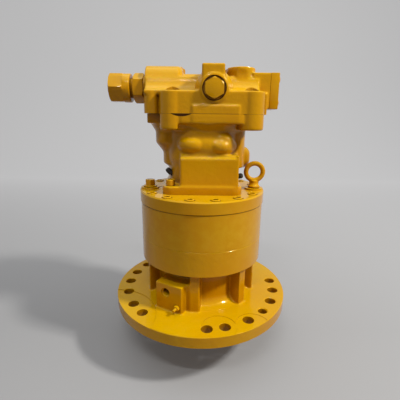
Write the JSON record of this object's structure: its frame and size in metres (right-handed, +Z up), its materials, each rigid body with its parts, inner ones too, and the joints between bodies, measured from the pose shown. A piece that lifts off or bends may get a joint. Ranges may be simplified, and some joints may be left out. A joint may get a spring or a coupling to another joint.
{
  "type": "swing gearbox",
  "caption": "Planetary swing gearbox with a round mounting flange, ribbed case, hydraulic motor, valve cover with hose fitting, and an output pinion below.",
  "frame": {"origin": "centre of the mounting flange's underside, where the pilot spigot meets it", "axes": "+Z up the shaft axis towards the motor; -Y towards the round hexagon plug on the valve cover; -X towards the hose fitting"},
  "size_m": [0.38, 0.38, 0.599],
  "materials": {
    "yellow_paint": "gloss enamel over castings and turned faces",
    "gear_steel": "ground",
    "bearing_steel": "polished",
    "carrier_iron": "machined casting",
    "bronze": "satin",
    "seal_rubber": "matt",
    "black_plastic": "moulded",
    "brake_lining": "sintered friction lining on steel"
  },
  "bodies": {
    "housing": {"lower_case": "yellow_paint", "ring_gear": "yellow_paint", "cover_plate": "yellow_paint", "cover_screws": "yellow_paint", "joint_seals": "seal_rubber", "lower_bearing_outer_ring": "bearing_steel", "upper_bearing_outer_ring": "bearing_steel", "output_seal": "seal_rubber", "motor_casing": "yellow_paint", "motor_screws": "yellow_paint", "port_caps": "black_plastic", "motor_shaft_seal": "seal_rubber", "front_bearing_outer_ring": "bearing_steel", "rear_bearing": "bearing_steel", "swash_plate": "gear_steel", "valve_plate": "bronze", "separator_plates": "gear_steel", "brake_springs": "bearing_steel", "valve_cover": "yellow_paint", "valve_cover_screws": "yellow_paint", "front_port_plug": "yellow_paint", "relief_valves": "yellow_paint", "end_plate": "yellow_paint", "end_plate_screws": "yellow_paint", "side_adapter": "yellow_paint", "eye_bolt": "yellow_paint", "lift_hole_plug": "yellow_paint", "grease_nipple": "yellow_paint"},
    "output_shaft_assembly": {"output_shaft": "gear_steel", "lower_bearing_inner_ring": "bearing_steel", "upper_bearing_inner_ring": "bearing_steel", "shaft_nut": "gear_steel", "output_carrier": "carrier_iron", "output_planet_pins": "bearing_steel", "output_thrust_washers": "bronze", "output_planet_rollers": "bearing_steel"},
    "lower_roller_row": {"lower_bearing_rollers": "bearing_steel"},
    "upper_roller_row": {"upper_bearing_rollers": "bearing_steel"},
    "output_planet_gear_1": {"output_planet_1": "gear_steel"},
    "output_planet_gear_2": {"output_planet_2": "gear_steel"},
    "output_planet_gear_3": {"output_planet_3": "gear_steel"},
    "input_stage_carrier": {"input_carrier": "carrier_iron", "output_sun_gear": "gear_steel", "input_planet_pins": "bearing_steel", "input_thrust_washers": "bronze", "input_planet_rollers": "bearing_steel"},
    "input_planet_gear_1": {"input_planet_1": "gear_steel"},
    "input_planet_gear_2": {"input_planet_2": "gear_steel"},
    "input_planet_gear_3": {"input_planet_3": "gear_steel"},
    "motor_rotor": {"motor_shaft": "gear_steel", "input_sun_gear": "gear_steel", "front_bearing_inner_ring": "bearing_steel", "cylinder_block": "gear_steel", "pistons": "bearing_steel", "piston_shoes": "bronze", "shoe_retainer": "gear_steel", "friction_plates": "brake_lining"},
    "motor_ball_row": {"front_bearing_balls": "bearing_steel"},
    "brake_release_piston": {"brake_piston": "gear_steel"},
    "hose_nut": {"swivel_nut": "yellow_paint"}
  },
  "joints": [
    {"name": "output_spin", "type": "hinge", "parent": "housing", "child": "output_shaft_assembly", "pos_m": [0, 0, 0], "axis": [0, 0, 1], "continuous": true},
    {"name": "lower_roller_roll", "type": "hinge", "parent": "housing", "child": "lower_roller_row", "pos_m": [0, 0, 0.0375], "axis": [0, 0, 1], "continuous": true},
    {"name": "upper_roller_roll", "type": "hinge", "parent": "housing", "child": "upper_roller_row", "pos_m": [0, 0, 0.113], "axis": [0, 0, 1], "continuous": true},
    {"name": "input_carrier_spin", "type": "hinge", "parent": "housing", "child": "input_stage_carrier", "pos_m": [0, 0, 0.204], "axis": [0, 0, 1], "continuous": true},
    {"name": "motor_spin", "type": "hinge", "parent": "housing", "child": "motor_rotor", "pos_m": [0, 0, 0.32], "axis": [0, 0, 1], "continuous": true},
    {"name": "motor_ball_roll", "type": "hinge", "parent": "housing", "child": "motor_ball_row", "pos_m": [0, 0, 0.2835], "axis": [0, 0, 1], "continuous": true},
    {"name": "output_planet_1_spin", "type": "hinge", "parent": "output_shaft_assembly", "child": "output_planet_gear_1", "pos_m": [0, 0.06825, 0.1772], "axis": [0, 0, 1], "continuous": true},
    {"name": "output_planet_2_spin", "type": "hinge", "parent": "output_shaft_assembly", "child": "output_planet_gear_2", "pos_m": [-0.05911, -0.03413, 0.1772], "axis": [0, 0, 1], "continuous": true},
    {"name": "output_planet_3_spin", "type": "hinge", "parent": "output_shaft_assembly", "child": "output_planet_gear_3", "pos_m": [0.05911, -0.03413, 0.1772], "axis": [0, 0, 1], "continuous": true},
    {"name": "input_planet_1_spin", "type": "hinge", "parent": "input_stage_carrier", "child": "input_planet_gear_1", "pos_m": [0, 0.063, 0.22025], "axis": [0, 0, 1], "continuous": true},
    {"name": "input_planet_2_spin", "type": "hinge", "parent": "input_stage_carrier", "child": "input_planet_gear_2", "pos_m": [-0.05456, -0.0315, 0.22025], "axis": [0, 0, 1], "continuous": true},
    {"name": "input_planet_3_spin", "type": "hinge", "parent": "input_stage_carrier", "child": "input_planet_gear_3", "pos_m": [0.05456, -0.0315, 0.22025], "axis": [0, 0, 1], "continuous": true},
    {"name": "brake_release", "type": "slide", "parent": "housing", "child": "brake_release_piston", "axis": [0, 0, 1], "range_m": [0, 0.002], "deforming": ["brake_springs"]},
    {"name": "hose_nut_spin", "type": "hinge", "parent": "housing", "child": "hose_nut", "pos_m": [-0.165, 0, 0.455], "axis": [1, 0, 0], "continuous": true}
  ],
  "couplings": [
    {"joint": "lower_roller_roll", "follows": "output_spin", "ratio": 0.43},
    {"joint": "upper_roller_roll", "follows": "output_spin", "ratio": 0.43},
    {"joint": "input_carrier_spin", "follows": "output_spin", "ratio": 3.7143},
    {"joint": "motor_spin", "follows": "output_spin", "ratio": 17.829},
    {"joint": "motor_ball_roll", "follows": "output_spin", "ratio": 6.864},
    {"joint": "output_planet_1_spin", "follows": "output_spin", "ratio": -3.1667},
    {"joint": "output_planet_2_spin", "follows": "output_spin", "ratio": -3.1667},
    {"joint": "output_planet_3_spin", "follows": "output_spin", "ratio": -3.1667},
    {"joint": "input_planet_1_spin", "follows": "output_spin", "ratio": -10.082},
    {"joint": "input_planet_2_spin", "follows": "output_spin", "ratio": -10.082},
    {"joint": "input_planet_3_spin", "follows": "output_spin", "ratio": -10.082}
  ]
}
